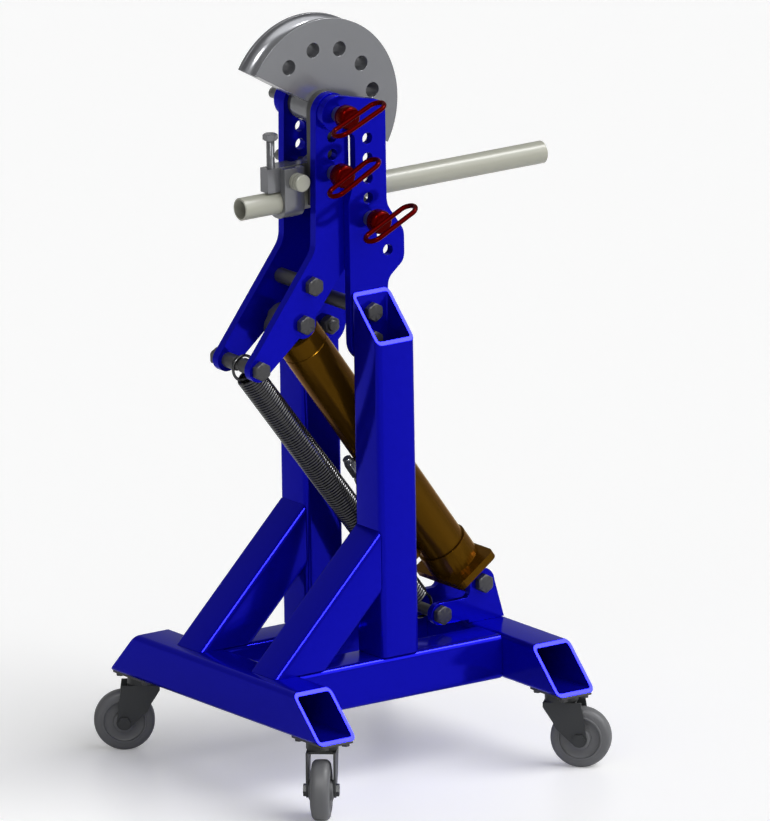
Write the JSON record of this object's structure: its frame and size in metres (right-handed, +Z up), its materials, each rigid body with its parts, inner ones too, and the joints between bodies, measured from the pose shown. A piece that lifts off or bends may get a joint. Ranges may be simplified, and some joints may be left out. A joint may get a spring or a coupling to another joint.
{
  "type": "pipe bender",
  "caption": "Floor-standing hydraulic pipe bender: caster frame, swing arms driven by a jack against a grooved half-disc die, follower roller, return spring and pull pins.",
  "frame": {"origin": "on the floor under the middle of the two posts", "axes": "+Z up, +X along the pipe towards its long end, +Y to the side away from the pull handles"},
  "size_m": [0.7176, 0.6648, 1.2769],
  "materials": {
    "blue_paint": "gloss blue paint",
    "dark_steel": "dark machined steel",
    "pin_steel": "plain steel",
    "die_grey": "satin grey",
    "ivory_steel": "satin ivory",
    "red_paint": "gloss dark red",
    "bronze_paint": "gloss bronze brown",
    "ram_chrome": "polished",
    "spring_steel": "dark spring steel",
    "fork_steel": "dark grey",
    "wheel_rubber": "grey wheel"
  },
  "bodies": {
    "frame": {"left_cross_beam": "blue_paint", "right_cross_beam": "blue_paint", "near_rail": "blue_paint", "far_rail": "blue_paint", "near_post": "blue_paint", "far_post": "blue_paint", "near_brace": "blue_paint", "far_brace": "blue_paint", "near_fixed_plate": "blue_paint", "far_fixed_plate": "blue_paint", "plate_spacer": "dark_steel", "plate_through_bolt": "dark_steel", "plate_lower_bolts": "dark_steel", "near_jack_cheek": "blue_paint", "far_jack_cheek": "blue_paint", "jack_pivot_bolt": "dark_steel", "spring_anchor_bolt": "dark_steel", "caster_plates": "dark_steel", "caster_bolts": "dark_steel", "workpiece_pipe": "ivory_steel"},
    "arms": {"near_swing_arm": "blue_paint", "far_swing_arm": "blue_paint", "drive_link": "dark_steel", "arm_spacer": "dark_steel", "arm_spacer_bolt": "dark_steel", "ram_pivot_bolt": "dark_steel", "tail_rod": "dark_steel", "tail_spacers": "dark_steel", "clamp_hook": "die_grey", "clamp_strap": "die_grey", "clamp_pin": "ivory_steel"},
    "clamp_screw": {"clamp_screw": "die_grey"},
    "die": {"bending_die": "die_grey", "die_bush": "dark_steel"},
    "die_pin": {"die_pin": "pin_steel", "die_pin_handle": "red_paint"},
    "drive_pin": {"drive_pin": "pin_steel", "drive_pin_handle": "red_paint"},
    "follower_pin": {"follower_pin": "pin_steel", "follower_pin_handle": "red_paint"},
    "follower": {"follower_roller": "dark_steel", "follower_spacers": "dark_steel"},
    "jack": {"jack_base": "bronze_paint", "jack_cylinder": "bronze_paint", "pump_barrel": "bronze_paint"},
    "ram": {"jack_ram": "ram_chrome", "ram_head": "dark_steel"},
    "spring_base": {"return_spring": "spring_steel", "spring_lower_hook": "spring_steel"},
    "spring_top": {"spring_upper_hook": "spring_steel"},
    "near_left_caster": {"near_left_caster_fork": "fork_steel"},
    "near_left_wheel": {"near_left_caster_wheel": "wheel_rubber"},
    "near_right_caster": {"near_right_caster_fork": "fork_steel"},
    "near_right_wheel": {"near_right_caster_wheel": "wheel_rubber"},
    "far_left_caster": {"far_left_caster_fork": "fork_steel"},
    "far_left_wheel": {"far_left_caster_wheel": "wheel_rubber"},
    "far_right_caster": {"far_right_caster_fork": "fork_steel"},
    "far_right_wheel": {"far_right_caster_wheel": "wheel_rubber"}
  },
  "joints": [
    {"name": "arm_swing", "type": "hinge", "parent": "frame", "child": "arms", "pos_m": [-0.0585, 0, 1.12447], "axis": [0, 1, 0], "range_deg": [0, 30], "stiffness_Nm_per_rad": 60, "springref_deg": -17.19, "deforming": ["workpiece_pipe"]},
    {"name": "jack_tilt", "type": "hinge", "parent": "frame", "child": "jack", "pos_m": [0.232, 0, 0.27098], "axis": [0, 1, 0], "range_deg": [-7.2, 0.5]},
    {"name": "ram_slide", "type": "slide", "parent": "jack", "child": "ram", "axis": [-0.5756, 0, 0.8177], "range_m": [0, 0.168]},
    {"name": "spring_swing", "type": "hinge", "parent": "frame", "child": "spring_base", "pos_m": [0.147, 0, 0.23067], "axis": [0, 1, 0], "range_deg": [-5.3, 0.3]},
    {"name": "spring_stretch", "type": "slide", "parent": "spring_base", "child": "spring_top", "axis": [-0.6005, 0, 0.7996], "range_m": [0, 0.225], "deforming": ["return_spring", "spring_upper_hook"]},
    {"name": "die_turn", "type": "hinge", "parent": "frame", "child": "die", "pos_m": [-0.0585, 0, 1.12447], "axis": [0, 1, 0], "range_deg": [-6, 40]},
    {"name": "clamp_screw_lift", "type": "slide", "parent": "arms", "child": "clamp_screw", "axis": [0, 0, 1], "range_m": [0, 0.01]},
    {"name": "die_pin_pull", "type": "slide", "parent": "frame", "child": "die_pin", "axis": [0, -1, 0], "range_m": [0, 0.178]},
    {"name": "drive_pin_pull", "type": "slide", "parent": "arms", "child": "drive_pin", "axis": [0, -1, 0], "range_m": [0, 0.148]},
    {"name": "follower_pin_pull", "type": "slide", "parent": "frame", "child": "follower_pin", "axis": [0, -1, 0], "range_m": [0, 0.165]},
    {"name": "follower_spin", "type": "hinge", "parent": "frame", "child": "follower", "pos_m": [0.002, 0, 0.93727], "axis": [0, 1, 0], "continuous": true},
    {"name": "near_left_swivel", "type": "hinge", "parent": "frame", "child": "near_left_caster", "pos_m": [-0.2413, -0.2588, 0.12], "axis": [0, 0, 1], "continuous": true},
    {"name": "near_left_roll", "type": "hinge", "parent": "near_left_caster", "child": "near_left_wheel", "pos_m": [-0.26229, -0.28426, 0.0508], "axis": [-0.7716, 0.6361, 0], "continuous": true},
    {"name": "near_right_swivel", "type": "hinge", "parent": "frame", "child": "near_right_caster", "pos_m": [0.2413, -0.2588, 0.12], "axis": [0, 0, 1], "continuous": true},
    {"name": "near_right_roll", "type": "hinge", "parent": "near_right_caster", "child": "near_right_wheel", "pos_m": [0.26484, -0.28193, 0.0508], "axis": [-0.7009, -0.7133, 0], "continuous": true},
    {"name": "far_left_swivel", "type": "hinge", "parent": "frame", "child": "far_left_caster", "pos_m": [-0.2413, 0.2588, 0.12], "axis": [0, 0, 1], "continuous": true},
    {"name": "far_left_roll", "type": "hinge", "parent": "far_left_caster", "child": "far_left_wheel", "pos_m": [-0.26833, 0.27773, 0.0508], "axis": [0.5736, 0.8192, 0], "continuous": true},
    {"name": "far_right_swivel", "type": "hinge", "parent": "frame", "child": "far_right_caster", "pos_m": [0.2413, 0.2588, 0.12], "axis": [0, 0, 1], "continuous": true},
    {"name": "far_right_roll", "type": "hinge", "parent": "far_right_caster", "child": "far_right_wheel", "pos_m": [0.26023, 0.28583, 0.0508], "axis": [0.8192, -0.5736, 0], "continuous": true}
  ],
  "couplings": [
    {"joint": "jack_tilt", "follows": "arm_swing", "ratio": -0.22585},
    {"joint": "ram_slide", "follows": "arm_swing", "m_per_rad": 0.31712},
    {"joint": "spring_swing", "follows": "arm_swing", "ratio": -0.16397},
    {"joint": "spring_stretch", "follows": "arm_swing", "m_per_rad": 0.4229}
  ]
}
